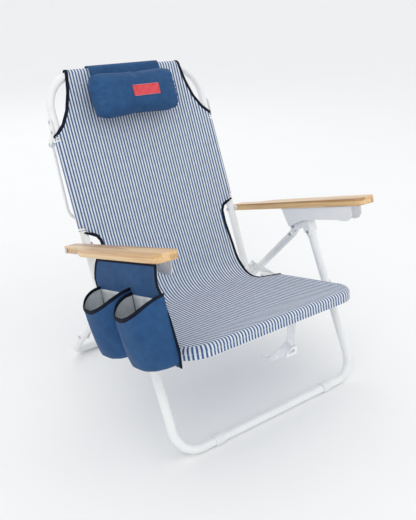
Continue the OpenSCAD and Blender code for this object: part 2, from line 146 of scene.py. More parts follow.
floor_mat, tree, shader = new_material("floor", 0.9, Base_Color=(0.9, 0.9, 0.9, 1))
place = add(tree, "ShaderNodeTexCoord").outputs["Object"]
tree.links.new(ramp(tree, noise(tree, place, 3.0), (0.3, (0.895,) * 3), (0.7, (0.905,) * 3)),
               shader.inputs["Base Color"])
floor_mesh = bpy.data.meshes.new("floor")
floor_mesh.from_pydata([(-40, -40, 0), (40, -40, 0), (40, 40, 0), (-40, 40, 0)], [], [(0, 1, 2, 3)])
floor_mesh.materials.append(floor_mat)
floor = bpy.data.objects.new("floor", floor_mesh)
bpy.context.scene.collection.objects.link(floor)


# ---- Tube frames ----
# Bent aluminium tube with a white powder coat, which has a fine orange-peel skin and
# rubs a little grey where the frames are handled.
def group(name, inputs, outputs):
    tree = bpy.data.node_groups.new(name, "ShaderNodeTree")
    for socket, kind, value in inputs:
        s = tree.interface.new_socket(socket, in_out="INPUT", socket_type=kind)
        if value is not None:
            s.default_value = value
    for socket, kind in outputs:
        tree.interface.new_socket(socket, in_out="OUTPUT", socket_type=kind)
    start, end = tree.nodes.new("NodeGroupInput"), tree.nodes.new("NodeGroupOutput")
    return tree, start.outputs, end.inputs


FLOAT, VECTOR = "NodeSocketFloat", "NodeSocketVector"
wear_group, gi, go = group("handling wear", [("Vector", VECTOR, None), ("Scale", FLOAT, 40.0),
                                             ("Amount", FLOAT, 0.5)], [("Mask", FLOAT), ("Skin", FLOAT)])
cloud = noise(wear_group, gi["Vector"], gi["Scale"], 5.0)
spread = add(wear_group, "ShaderNodeMapRange", [("Value", cloud), ("From Min", 0.5), ("From Max", 0.8)])
wear_group.links.new(math(wear_group, "MULTIPLY", spread.outputs[0], gi["Amount"]), go["Mask"])
fine = noise(wear_group, gi["Vector"], 900.0, 2.0)
wear_group.links.new(fine, go["Skin"])


def use(tree, shared, **values):
    n = add(tree, "ShaderNodeGroup", node_tree=shared)
    for key, value in values.items():
        if isinstance(value, bpy.types.NodeSocket):
            tree.links.new(value, n.inputs[key])
        else:
            n.inputs[key].default_value = value
    return n.outputs


def moulded(name, light, dark, rough, amount, peel, **sockets):
    """A coated, moulded or plain metal finish: two near tones, a fine skin and handling wear."""
    mat, tree, shader = new_material(name, rough, **sockets)
    vector = add(tree, "ShaderNodeTexCoord").outputs["Object"]
    wear = use(tree, wear_group, Vector=vector, Scale=28.0, Amount=amount)
    tree.links.new(ramp(tree, wear["Mask"], (0.0, light), (1.0, dark)), shader.inputs["Base Color"])
    tree.links.new(math(tree, "ADD", math(tree, "MULTIPLY", wear["Mask"], 0.25), rough),
                   shader.inputs["Roughness"])
    bump(tree, shader, wear["Skin"], 0.25, peel)
    return mat


def finish(mat, *nodes):
    """Gives CAD nodes a better material in all of their slots."""
    for node in nodes:
        obj = bpy.data.objects[node]
        obj.data.materials.clear()
        obj.data.materials.append(mat)


powder = moulded("white powder coat", (0.84, 0.85, 0.85), (0.66, 0.67, 0.68), 0.34, 0.35, 0.0003,
                 Coat_Weight=0.25, Coat_Roughness=0.2)
finish(powder, "back_frame", "seat_frame", "front_leg_frame", "rear_leg_frame", "towel_bar")

# ---- Knuckles, leg ends, arm housings and brackets ----
# Injection-moulded white plastic with a fine spark-eroded texture; the glides and bushes
# are a softer grey plastic.
white_plastic = moulded("white plastic", (0.86, 0.86, 0.87), (0.74, 0.74, 0.75), 0.45, 0.3, 0.0004)
finish(white_plastic, "knuckle_left", "knuckle_right", "rear_leg_ends", "towel_brackets",
       "arm_housing_left", "arm_housing_right", "back_end_plugs", "strap_buckle")
grey_plastic = moulded("grey plastic", (0.80, 0.81, 0.82), (0.64, 0.65, 0.66), 0.55, 0.5, 0.0005)
finish(grey_plastic, "front_glides", "rear_glides", "leg_spacers", "arm_spacers", "hinge_spacers")

# ---- Hinge plates, bolts, rivets and screws ----
# Stamped steel plates with a pale coat, and bright zinc-plated fasteners.
plate = moulded("plate metal", (0.80, 0.81, 0.82), (0.60, 0.62, 0.64), 0.36, 0.6, 0.0003, Metallic=0.15)
finish(plate, "hinge_tabs", "link_plates")
zinc = moulded("zinc", (0.60, 0.61, 0.63), (0.36, 0.37, 0.39), 0.3, 0.7, 0.0002, Metallic=1.0)
finish(zinc, "bracket_rivets", "towel_bar_pins", "tab_rivets", "hinge_bolts", "hinge_nuts",
       "leg_pivot_rivets", "knuckle_rivets", "knuckle_pivots", "lock_pins", "rear_end_rivets",
       "link_rivets", "arm_bolts", "arm_nuts", "arm_screws_left", "arm_screws_right", "bag_studs")

# ---- Wooden arms ----
# Laminated bamboo boards with rounded edges and a clear varnish; the grain runs along the
# arm and each narrow lamella has its own tone.
arm_pivot = pivots["arm_left_recline"]
arm_slope = radians(17.4)


def on_arm(x, along, depth):
    """x from the middle plane, distance in front of the arm's pivot, depth under its centre."""
    return Vector((hinge.x + x, arm_pivot.y - along * cos(arm_slope) - depth * sin(arm_slope),
                   arm_pivot.z + along * sin(arm_slope) - depth * cos(arm_slope)))


wood, tree, shader = new_material("bamboo", 0.38, Coat_Weight=0.35, Coat_Roughness=0.18)
vector = add(tree, "ShaderNodeTexCoord").outputs["Object"]
level = add(tree, "ShaderNodeMapping", [("Vector", vector), ("Rotation", (arm_slope, 0, 0))]).outputs[0]
lamella = add(tree, "ShaderNodeMapping", [("Vector", level), ("Scale", (52, 1.2, 110))]).outputs[0]
strip = add(tree, "ShaderNodeTexVoronoi", [("Vector", lamella), ("Scale", 1.0), ("Randomness", 0.35)],
            feature="F1").outputs["Color"]
tone = add(tree, "ShaderNodeSeparateColor", [(0, strip)]).outputs[0]
stretch = add(tree, "ShaderNodeMapping", [("Vector", level), ("Scale", (420, 7, 420))]).outputs[0]
fibre = noise(tree, stretch, 1.0, 6.0)
mixed = math(tree, "ADD", math(tree, "MULTIPLY", tone, 0.4), math(tree, "MULTIPLY", fibre, 0.6))
tree.links.new(ramp(tree, mixed, (0.3, (0.42, 0.22, 0.08)), (0.5, (0.64, 0.38, 0.16)),
                    (0.68, (0.79, 0.54, 0.27))), shader.inputs["Base Color"])
bump(tree, shader, fibre, 0.15, 0.0004)


def link(obj):
    bpy.context.scene.collection.objects.link(obj)
    return obj


def merged_copy(node, name):
    """A copy of a CAD node's mesh with its loose triangles joined and its flats cleaned."""
    mesh = bpy.data.objects[node].data.copy()
    bm = bmesh.new()
    bm.from_mesh(mesh)
    bmesh.ops.remove_doubles(bm, verts=bm.verts, dist=2e-6)
    bmesh.ops.dissolve_limit(bm, angle_limit=radians(1), verts=bm.verts, edges=bm.edges)
    bm.to_mesh(mesh)
    bm.free()
    return link(bpy.data.objects.new(name, mesh))


def baked(obj):
    """Turns the object's modifiers into its mesh."""
    graph = bpy.context.evaluated_depsgraph_get()
    mesh = bpy.data.meshes.new_from_object(obj.evaluated_get(graph))
    obj.modifiers.clear()
    obj.data = mesh
    return obj


def smooth(obj, angle=40):
    for p in obj.data.polygons:
        p.use_smooth = True
    obj.data.set_sharp_from_angle(angle=radians(angle))


for side in ("left", "right"):
    arm = merged_copy("arm_board_" + side, "wood_arm_" + side)
    arm.data.materials.clear()
    arm.data.materials.append(wood)
    edge = arm.modifiers.new("edge", "BEVEL")
    edge.width = 0.0045
    edge.segments = 4
    edge.limit_method = "ANGLE"
    edge.angle_limit = radians(50)
    baked(arm)
    smooth(arm, 35)
    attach(arm, "arm_" + side)
    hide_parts("arm_board_" + side)

# ---- Back sling ----
# One cut of striped textilene. It is sleeved over both back tubes and the top bar, is cut
# away beside the arms and at the top corners, and the cut edges are bound in navy tape.
back_tilt = radians(25)
seat_tilt = radians(14.5)
cloth = 0.0012
tube_r = 0.011
back_x = 0.244
top_s = 0.643


def on_back(x, y, s):
    return Vector((hinge.x + x, hinge.y + y * cos(back_tilt) + s * sin(back_tilt),
                   hinge.z - y * sin(back_tilt) + s * cos(back_tilt)))


def on_seat(x, a, h):
    return Vector((hinge.x + x, hinge.y - a * cos(seat_tilt) + h * sin(seat_tilt),
                   hinge.z + a * sin(seat_tilt) + h * cos(seat_tilt)))


def between(table, at):
    """Reads a table of (place, value) pairs, straight between its entries."""
    if at <= table[0][0]:
        return table[0][1]
    for (p, v), (q, w) in zip(table, table[1:]):
        if at <= q:
            t = (at - p) / (q - p)
            return v + (w - v) * t
    return table[-1][1]


def wrap(length, tube_x, r):
    """Goes `length` outwards from the middle, then round a tube; gives (x, depth behind)."""
    if length <= tube_x:
        return length, -r
    turn = (length - tube_x) / r
    if turn <= pi:
        return tube_x + r * sin(turn), -r * cos(turn)
    return tube_x - (length - tube_x - pi * r), r


def sheet_object(name, rows, mat, thick=cloth):
    """A sheet from rows of (point, u, v), with its UV map in metres, and its thickness."""
    bm = bmesh.new()
    uv = bm.loops.layers.uv.new("cloth")
    verts = [[bm.verts.new(p) for p, u, v in row] for row in rows]
    for i in range(len(rows) - 1):
        for k in range(len(rows[i]) - 1):
            corners = ((i, k), (i, k + 1), (i + 1, k + 1), (i + 1, k))
            face = bm.faces.new([verts[a][b] for a, b in corners])
            face.smooth = True
            for loop, (a, b) in zip(face.loops, corners):
                loop[uv].uv = rows[a][b][1:]
    mesh = bpy.data.meshes.new(name)
    bm.to_mesh(mesh)
    bm.free()
    mesh.materials.append(mat)
    obj = link(bpy.data.objects.new(name, mesh))
    if thick:
        solid = obj.modifiers.new("thickness", "SOLIDIFY")
        solid.thickness = thick
        solid.offset = 0
        baked(obj)
    return obj


weave_group, gi, go = group("weave", [("Vector", VECTOR, None), ("Pitch", FLOAT, 0.001)],
                            [("Height", FLOAT), ("Shade", FLOAT)])
axes = add(weave_group, "ShaderNodeSeparateXYZ", [(0, gi["Vector"])]).outputs
turns = math(weave_group, "DIVIDE", 2 * pi, gi["Pitch"])
waves = [math(weave_group, "SINE", math(weave_group, "MULTIPLY", axes[k], turns)) for k in (0, 1)]
product = math(weave_group, "MULTIPLY", *waves)
weave_group.links.new(math(weave_group, "MULTIPLY_ADD", product, 0.5), go["Height"])
slub = noise(weave_group, gi["Vector"], 60.0, 4.0)
shading = math(weave_group, "MULTIPLY", product, 0.12)
weave_group.links.new(math(weave_group, "ADD", shading, slub), go["Shade"])

stripe_pitch = 0.0088
stripes, tree, shader = new_material("striped sling", 0.62, Sheen_Weight=0.15)
uvmap = add(tree, "ShaderNodeUVMap", uv_map="cloth").outputs[0]
weave = use(tree, weave_group, Vector=uvmap, Pitch=0.0011)
across = add(tree, "ShaderNodeSeparateXYZ", [(0, uvmap)]).outputs[0]
phase = math(tree, "FRACT", math(tree, "ADD", math(tree, "DIVIDE", across, stripe_pitch), 200.0))
edge = math(tree, "ABSOLUTE", math(tree, "SUBTRACT", phase, 0.5))
band = ramp(tree, edge, (0.225, (0.030, 0.100, 0.27)), (0.262, (0.80, 0.84, 0.89)))
shade = ramp(tree, weave["Shade"], (0.25, (0.80,) * 3), (0.75, (1.0,) * 3))
tree.links.new(add(tree, "ShaderNodeMix", [(0, 1.0), (6, band), (7, shade)], data_type="RGBA",
                   blend_type="MULTIPLY").outputs[2], shader.inputs["Base Color"])
bump(tree, shader, weave["Height"], 0.5, 0.0004)

# Half widths of the cut, from the middle out, at each height up the back
sleeve = back_x + pi * (tube_r + cloth) + 0.018
back_half = [(0.0, 0.212), (0.075, 0.209), (0.150, 0.203), (0.188, 0.205), (0.203, 0.214),
             (0.214, 0.235), (0.222, 0.262), (0.228, sleeve), (0.468, sleeve), (0.474, 0.270),
             (0.484, 0.250), (0.508, 0.226), (0.544, 0.205), (0.592, 0.189), (0.633, 0.181), (0.70, 0.172)]
cols = 44
# The crease is a smooth turn from the back's line into the seat's line
crease_back = on_back(0, -tube_r - cloth, 0.075)
crease_seat = on_seat(0, 0.105, -0.0145)
along_back = (on_back(0, 0, 0) - on_back(0, 0, 1)).normalized()
along_seat = (on_seat(0, 0, 0) - on_seat(0, 1, 0)).normalized()
gap = crease_seat - crease_back
cross = along_back.y * along_seat.z - along_back.z * along_seat.y
crease_corner = crease_back + along_back * ((gap.y * along_seat.z - gap.z * along_seat.y) / cross)


def crease(t):
    return (1 - t) ** 2 * crease_back + 2 * t * (1 - t) * crease_corner + t * t * crease_seat


def cloth_rows(path, half, tube_x, r, dip):
    """Rows across the cloth. Each path entry is (place, point at (x, depth), sag factor)."""
    rows = []
    for place, point, slack in path:
        width = between(half, place)
        row = []
        for k in range(-cols, cols + 1):
            # Columns crowd towards the edges, where the cloth turns round the tubes
            share = sin(k / cols * pi / 2) * 0.35 + k / cols * 0.65
            length = abs(share) * width
            x, depth = wrap(length, tube_x, r)
            if length < tube_x:
                depth += dip * slack * (1 - (length / tube_x) ** 2)
            side = 1 if k >= 0 else -1
            row.append((point(side * x, depth), side * length, place))
        rows.append(row)
    return rows


def crease_path(t0, t1, steps, place0, place1):
    out = []
    for i in range(steps + 1):
        t = t0 + (t1 - t0) * i / steps
        c = crease(t)
        out.append((place0 + (place1 - place0) * i / steps,
                    lambda x, d, c=c: Vector((hinge.x + x, c.y, c.z)), 0))
    return out


front = tube_r + cloth
row_step = 0.0071
back_sag = 0.012
path = crease_path(0.5, 0.0, 10, 0.02, 0.072)
s = 0.075
while s < top_s + 0.0001:
    slack = min(1, max(0, (s - 0.075) / 0.12)) * min(1, max(0, (top_s - s) / 0.12))
    path.append((s, lambda x, d, s=s: on_back(x, d, s), slack))
    s += row_step
for i in range(1, 13):
    turn = pi * i / 12
    path.append((top_s + front * turn, lambda x, d, t=turn: on_back(
        x, (d if d > -front else -front) * cos(t), top_s + front * sin(t)), 0))
for i in range(1, 6):
    path.append((top_s + front * pi + 0.008 * i,
                 lambda x, d, i=i: on_back(x, front, top_s - 0.008 * i), 0))
back_rows = cloth_rows(path, back_half, back_x, front, back_sag)
back_cloth = sheet_object("back_cloth", back_rows, stripes)
smooth(back_cloth, 60)


def tape(name, points, normals, half_width, mat, thick=0.0009):
    """Edge binding: a band folded round a cloth edge, drawn as a slim closed tube."""
    ring = 10
    bm = bmesh.new()
    loops = []
    for i, p in enumerate(points):
        ahead = (points[min(i + 1, len(points) - 1)] - points[max(i - 1, 0)]).normalized()
        up = (normals[i] - ahead * normals[i].dot(ahead)).normalized()
        side = ahead.cross(up)
        loops.append([bm.verts.new(p + side * half_width * cos(2 * pi * k / ring)
                                   + up * (cloth / 2 + thick) * sin(2 * pi * k / ring))
                      for k in range(ring)])
    for a, b in zip(loops, loops[1:]):
        for k in range(ring):
            bm.faces.new((a[k], a[(k + 1) % ring], b[(k + 1) % ring], b[k])).smooth = True
    bm.faces.new(loops[0])
    bm.faces.new(list(reversed(loops[-1])))
    bmesh.ops.recalc_face_normals(bm, faces=bm.faces)
    mesh = bpy.data.meshes.new(name)
    bm.to_mesh(mesh)
    bm.free()
    mesh.materials.append(mat)
    return link(bpy.data.objects.new(name, mesh))


navy, tree, shader = new_material("navy tape", 0.85, Specular_IOR_Level=0.2)
vector = add(tree, "ShaderNodeTexCoord").outputs["Object"]
weave = use(tree, weave_group, Vector=vector, Pitch=0.0009)
tree.links.new(ramp(tree, weave["Shade"], (0.3, (0.003, 0.005, 0.014)), (0.8, (0.009, 0.013, 0.030))),
               shader.inputs["Base Color"])
bump(tree, shader, weave["Height"], 0.5, 0.0003)


def edge_run(rows, first, last, column):
    """Points and outward normals along one side of a cloth, between two places along it."""
    points, normals = [], []
    inner = column + (1 if column == 0 else -1)
    for i, row in enumerate(rows):
        if first <= row[column][2] <= last:
            points.append(row[column][0])
            a = row[column][0] - row[inner][0]
            b = rows[min(i + 1, len(rows) - 1)][column][0] - rows[max(i - 1, 0)][column][0]
            n = a.cross(b)
            normals.append(n.normalized() if n.length > 1e-9 else Vector((0, -1, 0)))
    return points, normals


def thread_row(name, points, normals, step, mat):
    """Lock stitches along a seam, set on the cloth by Geometry Nodes."""
    mesh = bpy.data.meshes.new(name)
    mesh.from_pydata([p + n * 0.0009 for p, n in zip(points, normals)],
                     [(i, i + 1) for i in range(len(points) - 1)], [])
    obj = link(bpy.data.objects.new(name, mesh))
    tree = bpy.data.node_groups.new(name, "GeometryNodeTree")
    tree.interface.new_socket("Geometry", in_out="INPUT", socket_type="NodeSocketGeometry")
    gap = tree.interface.new_socket("Stitch spacing", in_out="INPUT", socket_type="NodeSocketFloat")
    tree.interface.new_socket("Geometry", in_out="OUTPUT", socket_type="NodeSocketGeometry")
    start = tree.nodes.new("NodeGroupInput").outputs
    end = tree.nodes.new("NodeGroupOutput").inputs
    line = add(tree, "GeometryNodeMeshToCurve", [(0, start[0])]).outputs[0]
    even = add(tree, "GeometryNodeResampleCurve", [("Curve", line), ("Length", start[1])], mode="LENGTH")
    tangent = add(tree, "GeometryNodeInputTangent").outputs[0]
    turn = add(tree, "FunctionNodeAlignRotationToVector", [("Vector", tangent)], axis="X").outputs[0]
    thread = add(tree, "GeometryNodeMeshIcoSphere", [("Radius", 0.0008), ("Subdivisions", 1)]).outputs[0]
    stitch = add(tree, "GeometryNodeTransform", [("Geometry", thread), ("Scale", (1.8, 0.7, 0.5))]).outputs[0]
    dots = add(tree, "GeometryNodeInstanceOnPoints", [("Points", even.outputs[0]), ("Instance", stitch),
                                                     ("Rotation", turn)]).outputs[0]
    real = add(tree, "GeometryNodeRealizeInstances", [(0, dots)]).outputs[0]
    done = add(tree, "GeometryNodeSetMaterial", [("Geometry", real), ("Material", mat)]).outputs[0]
    tree.links.new(done, end[0])
    mod = obj.modifiers.new("stitches", "NODES")
    mod.node_group = tree
    mod[gap.identifier] = step
    return baked(obj)


def inner_run(rows, first, last, column):
    """Points and normals along one inner column of a cloth, between two places along it."""
    points, normals = [], []
    for i, row in enumerate(rows):
        if first <= row[column][2] <= last:
            points.append(row[column][0])
            a = row[column + 1][0] - row[column - 1][0]
            b = rows[min(i + 1, len(rows) - 1)][column][0] - rows[max(i - 1, 0)][column][0]
            normals.append(a.cross(b).normalized())
    return points, normals


thread_mat, tree, shader = new_material("white thread", 0.7)
vector = add(tree, "ShaderNodeTexCoord").outputs["Object"]
tree.links.new(ramp(tree, noise(tree, vector, 800.0), (0.3, (0.62, 0.65, 0.70)), (0.7, (0.85, 0.86, 0.88))),
               shader.inputs["Base Color"])

# ---- Seat sling ----
# The same cloth goes on down through the crease and widens over the seat tubes. In front it
# ends along the middle of the bent bar, where the hem strip takes it on round the bar.
seat_x, seat_r, seat_len, seat_drop = 0.262, 0.0095, 0.428, 0.025
seat_front = seat_r + cloth
wide = seat_x + pi * seat_front + 0.016
seat_half = [(0.0, 0.212), (0.084, 0.207), (0.104, 0.214), (0.118, 0.238), (0.132, 0.262), (0.140, wide),
             (0.366, wide)]
seat_bend = 0.060
bend_start = seat_len - seat_bend
bar_half = seat_x - seat_bend
seat_half += [(bend_start + seat_bend * sin(pi / 2 * i / 30), bar_half + seat_bend * cos(pi / 2 * i / 30))
              for i in range(1, 31)]
path = crease_path(0.5, 1.0, 10, 0.045, 0.102)
a = 0.105
while a < seat_len - 0.002:
    slack = min(1, max(0, (a - 0.105) / 0.10)) * min(1, max(0, (seat_len - a) / 0.10))
    path.append((a, lambda x, d, a=a: on_seat(x, a, -seat_drop - d), slack))
    a += row_step
for a in (0.4263, 0.4275, seat_len):
    path.append((a, lambda x, d, a=a: on_seat(x, a, -seat_drop - d), 0))
seat_sag = 0.014
seat_rows = cloth_rows(path, seat_half, seat_x, seat_front, seat_sag)
seat_cloth = sheet_object("seat_cloth", seat_rows, stripes)
smooth(seat_cloth, 60)

# The hem strip follows the bar's middle line: x, a, outward x, outward a, length from the middle
bar_line = [(bar_half * k / 24, seat_len, 0.0, 1.0, bar_half * k / 24) for k in range(25)]
for k in range(1, 17):
    turn = pi / 2 * k / 16
    bar_line.append((bar_half + seat_bend * sin(turn), bend_start + seat_bend * cos(turn), sin(turn), cos(turn),
                     bar_half + seat_bend * turn))
bar_line = [(-x, a, -nx, na, -u) for x, a, nx, na, u in reversed(bar_line[1:])] + bar_line
hem_turn = radians(110)
hem_drop = 0.013
hem_turns = [hem_turn * i / 10 for i in range(11)]
hem_path = [(seat_front * sin(t), seat_front * cos(t), seat_front * t) for t in hem_turns]
hem_path += [(hem_path[10][0], hem_path[10][1] - hem_drop * i / 5, hem_path[10][2] + hem_drop * i / 5)
             for i in range(1, 6)]
hem_rows = [[(on_seat(x + nx * out, a + na * out, up - seat_drop), u, seat_len + run)
             for x, a, nx, na, u in bar_line] for out, up, run in hem_path]
front_hem = sheet_object("front_hem", hem_rows, stripes)
smooth(front_hem, 60)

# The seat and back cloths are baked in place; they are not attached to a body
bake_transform(seat_cloth)
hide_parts("seat_sling")
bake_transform(back_cloth)
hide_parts("back_sling")

tape_half = 0.0050
bindings = []
for side, column in (("left", 0), ("right", 2 * cols)):
    name = "back_cutout_tape_" + side
    run = edge_run(back_rows, 0.0, 0.225, column)
    bindings.append((tape(name, *run, tape_half, navy), "hinge_axle", "back"))
    name = "top_cutout_tape_" + side
    run = edge_run(back_rows, 0.472, 0.672, column)
    bindings.append((tape(name, *run, tape_half, navy), "back", None))
    name = "seat_cutout_tape_" + side
    run = edge_run(seat_rows, 0.0, 0.137, column)
    bindings.append((tape(name, *run, tape_half, navy), "seat", "hinge_axle"))
for piece, low, high in bindings:
    if high == "back":
        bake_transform(piece)
    elif high:
        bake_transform(piece)
    else:
        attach(piece, low)

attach(front_hem, "seat")

seams = []
for side, column in (("left", 9), ("right", 2 * cols - 9)):
    seams.append((thread_row("back_seam_" + side, *inner_run(back_rows, 0.24, 0.46, column), 0.0042,
                             thread_mat), "back"))
hem_row = min(back_rows, key=lambda row: abs(row[cols][2] - 0.612))
hem = [p for p, u, v in hem_row[6:-6]]
normal_back = (on_back(0, -1, 0) - on_back(0, 0, 0)).normalized()
seams.append((thread_row("top_hem_seam", hem, [normal_back] * len(hem), 0.0042, thread_mat), "back"))
hem_row = min(seat_rows, key=lambda row: abs(row[cols][2] - 0.404))
hem = [p for p, u, v in hem_row[10:-10]]
normal_seat = (on_seat(0, 0, 1) - on_seat(0, 0, 0)).normalized()
seams.append((thread_row("front_hem_seam", hem, [normal_seat] * len(hem), 0.0042, thread_mat), "seat"))
hem_edge = [p for p, u, v in hem_rows[10]]
hem_faces = [(on_seat(nx, na, 0) - on_seat(0, 0, 0)).normalized() for x, a, nx, na, u in bar_line]
seams.append((thread_row("hem_band_seam", hem_edge, hem_faces, 0.0042, thread_mat), "seat"))
for piece, body in seams:
    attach(piece, body)

# ---- Pillow ----
# A stuffed bolster of blue canvas, sewn shut at both ends; a flap of the same cloth goes over
# the top bar and carries it. A blank red label is sewn to its front.
canvas, tree, shader = new_material("blue canvas", 0.8, Sheen_Weight=0.04, Specular_IOR_Level=0.3)
vector = add(tree, "ShaderNodeTexCoord").outputs["Object"]
weave = use(tree, weave_group, Vector=vector, Pitch=0.0010)
# Painted shade: the fold noise shapes the bump and also darkens the canvas colour in the fold hollows and
# lightens it on the ridges
fold_relief_and_shade = noise(tree, vector, 9.0, 4.0)
tree.links.new(ramp(tree, math(tree, "ADD", math(tree, "MULTIPLY", weave["Shade"], 0.5),
                               math(tree, "MULTIPLY", fold_relief_and_shade, 0.5)),
                    (0.25, (0.010, 0.050, 0.150)), (0.75, (0.024, 0.100, 0.245))), shader.inputs["Base Color"])
height = math(tree, "ADD", math(tree, "MULTIPLY", weave["Height"], 0.35), math(tree, "MULTIPLY", fold_relief_and_shade, 2.5))
bump(tree, shader, height, 0.35, 0.0015)

pillow_lo, pillow_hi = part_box("pillow")
pillow_x = (pillow_lo[0] + pillow_hi[0]) / 2 - hinge.x
pillow_half = (pillow_hi[0] - pillow_lo[0]) / 2
pillow_r = 0.035
pillow_y = -tube_r - 0.004 - pillow_r
pillow_low, pillow_high = 0.535, 0.588
pillow_s = (pillow_low + pillow_high) / 2
bm = bmesh.new()
rings = []
around = 32
stations = 26
for i in range(stations + 1):
    t = -1 + 2 * i / stations
    pull = max(0.88, (1 - abs(t) ** 16) ** 0.42)
    ring = []
    for k in range(around):
        turn = 2 * pi * k / around
        y = pillow_y + (pillow_r - 0.006) * pull * cos(turn)
        s = pillow_s + ((pillow_high - pillow_low) / 2 * (0.72 + 0.28 * pull) * (1 if sin(turn) > 0 else -1)
                        * min(1, abs(sin(turn)) * 3) + (pillow_r + 0.002) * pull * sin(turn))
        ring.append(bm.verts.new(on_back(pillow_x + t * (pillow_half + 0.002), y, s)))
    rings.append(ring)
for p, q in zip(rings, rings[1:]):
    for k in range(around):
        bm.faces.new((p[k], p[(k + 1) % around], q[(k + 1) % around], q[k]))
bm.faces.new(rings[0])
bm.faces.new(list(reversed(rings[-1])))
bmesh.ops.recalc_face_normals(bm, faces=bm.faces)
mesh = bpy.data.meshes.new("pillow_body")
bm.to_mesh(mesh)
bm.free()
pillow = link(bpy.data.objects.new("pillow_body", mesh))


def stuffed(obj, voxel, pressure, cap):
    """Swells a closed shape as a stuffed cloth cover, moving no point further than cap."""
    mod = obj.modifiers.new("remesh", "REMESH")
    mod.mode = "VOXEL"
    mod.voxel_size = voxel
    baked(obj)
    start = [v.co.copy() for v in obj.data.vertices]
    mod = obj.modifiers.new("cloth", "CLOTH")
    mod.settings.use_pressure = True
    mod.settings.uniform_pressure_force = pressure
    mod.settings.effector_weights.gravity = 0
    mod.settings.tension_stiffness = 12
    mod.settings.bending_stiffness = 0.4
    mod.settings.quality = 6
    scene = bpy.context.scene
    for f in range(1, 21):
        scene.frame_set(f)
    baked(obj)
    for v, rest in zip(obj.data.vertices, start):
        move = v.co - rest
        if move.length > cap:
            v.co = rest + move.normalized() * cap
    scene.frame_set(1)


stuffed(pillow, 0.005, 4.0, 0.008)
sub = pillow.modifiers.new("smooth", "SUBSURF")
sub.levels = sub.render_levels = 1
baked(pillow)
# The back of the pillow lies flat on the sling, and its ends are gathered into short tucks
back_plane = -tube_r - 0.0035
for v in pillow.data.vertices:
    along = v.co - hinge
    x = along.x
    y = along.y * cos(back_tilt) - along.z * sin(back_tilt)
    s = along.y * sin(back_tilt) + along.z * cos(back_tilt)
    end = min(1, max(0, (abs(x - pillow_x) - pillow_half + 0.032) / 0.028))
    turn = atan2(s - pillow_s, y - pillow_y)
    y += 0.0016 * end * sin(turn * 14)
    y = min(y, back_plane)
    v.co = on_back(x, y, s)
pillow.data.materials.clear()
pillow.data.materials.append(canvas)
smooth(pillow, 180)
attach(pillow, "back")
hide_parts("pillow")

flap_r = 0.0175
flap_mid, flap_half = -0.003, 0.112


def flap_row():
    pts = [(-flap_r - 0.0035, top_s - 0.044), (-flap_r - 0.001, top_s - 0.018)]
    pts += [(-flap_r * cos(pi * i / 10), top_s + flap_r * sin(pi * i / 10)) for i in range(11)]
    pts += [(flap_r, top_s - 0.0125 * i) for i in range(1, 10)]
    return pts


flap_rows = []
for k in range(25):
    x = flap_mid - flap_half + 2 * flap_half * k / 24
    row = []
    for n, (y, s) in enumerate(flap_row()):
        ripple = 0.0006 * sin(k * 1.3) * (n > 12)
        row.append((on_back(x, y + ripple, s), x, 0.012 * n))
    flap_rows.append(row)
flap = sheet_object("pillow_strap", flap_rows, canvas, 0.0018)
smooth(flap, 60)
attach(flap, "back")
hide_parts("pillow_flap")

# The label follows the pillow's crown
red, tree, shader = new_material("red label", 0.7)
uvmap = add(tree, "ShaderNodeUVMap", uv_map="cloth").outputs[0]
weave = use(tree, weave_group, Vector=uvmap, Pitch=0.0008)
tree.links.new(ramp(tree, weave["Shade"], (0.25, (0.60, 0.045, 0.06)), (0.75, (0.80, 0.085, 0.10))),
               shader.inputs["Base Color"])
bump(tree, shader, weave["Height"], 0.4, 0.0003)
toward = (on_back(0, 1, 0) - on_back(0, 0, 0)).normalized()
label_rows = []
for i in range(11):
    row = []
    for k in range(25):
        x, s = -0.035 + 0.082 * k / 24, 0.543 + 0.030 * i / 10
        hit, spot, n, f = pillow.ray_cast(on_back(x, -0.2, s), toward)
        spot = spot if hit else on_back(x, pillow_y - pillow_r, s)
        row.append((spot - toward * 0.0009, x, s))
    label_rows.append(row)
label = sheet_object("label_patch", label_rows, red, 0.0009)
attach(label, "back")
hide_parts("pillow_label")
for name, edge_row in (("label_seam_low", label_rows[0]), ("label_seam_high", label_rows[-1])):
    run = [p for p, u, v in edge_row[1:-1]]
    row = thread_row(name, run, [-toward] * len(run), 0.0036, thread_mat)
    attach(row, "back")

# ---- Drinks bag ----
# A canvas back panel hangs from the left arm on studs. Two pockets are sewn to it; each is a
# sagging shell with a pale coated lining and a navy bound mouth that droops outwards.
lining, tree, shader = new_material("pale lining", 0.5)
vector = add(tree, "ShaderNodeTexCoord").outputs["Object"]
# Painted shade: the crinkle noise shapes the bump and also darkens the lining colour in its hollows and
# lightens it on its ridges
crinkle_relief_and_shade = noise(tree, vector, 45.0, 5.0)
tree.links.new(ramp(tree, crinkle_relief_and_shade, (0.3, (0.42, 0.46, 0.48)), (0.7, (0.60, 0.63, 0.65))),
               shader.inputs["Base Color"])
bump(tree, shader, crinkle_relief_and_shade, 0.4, 0.002)

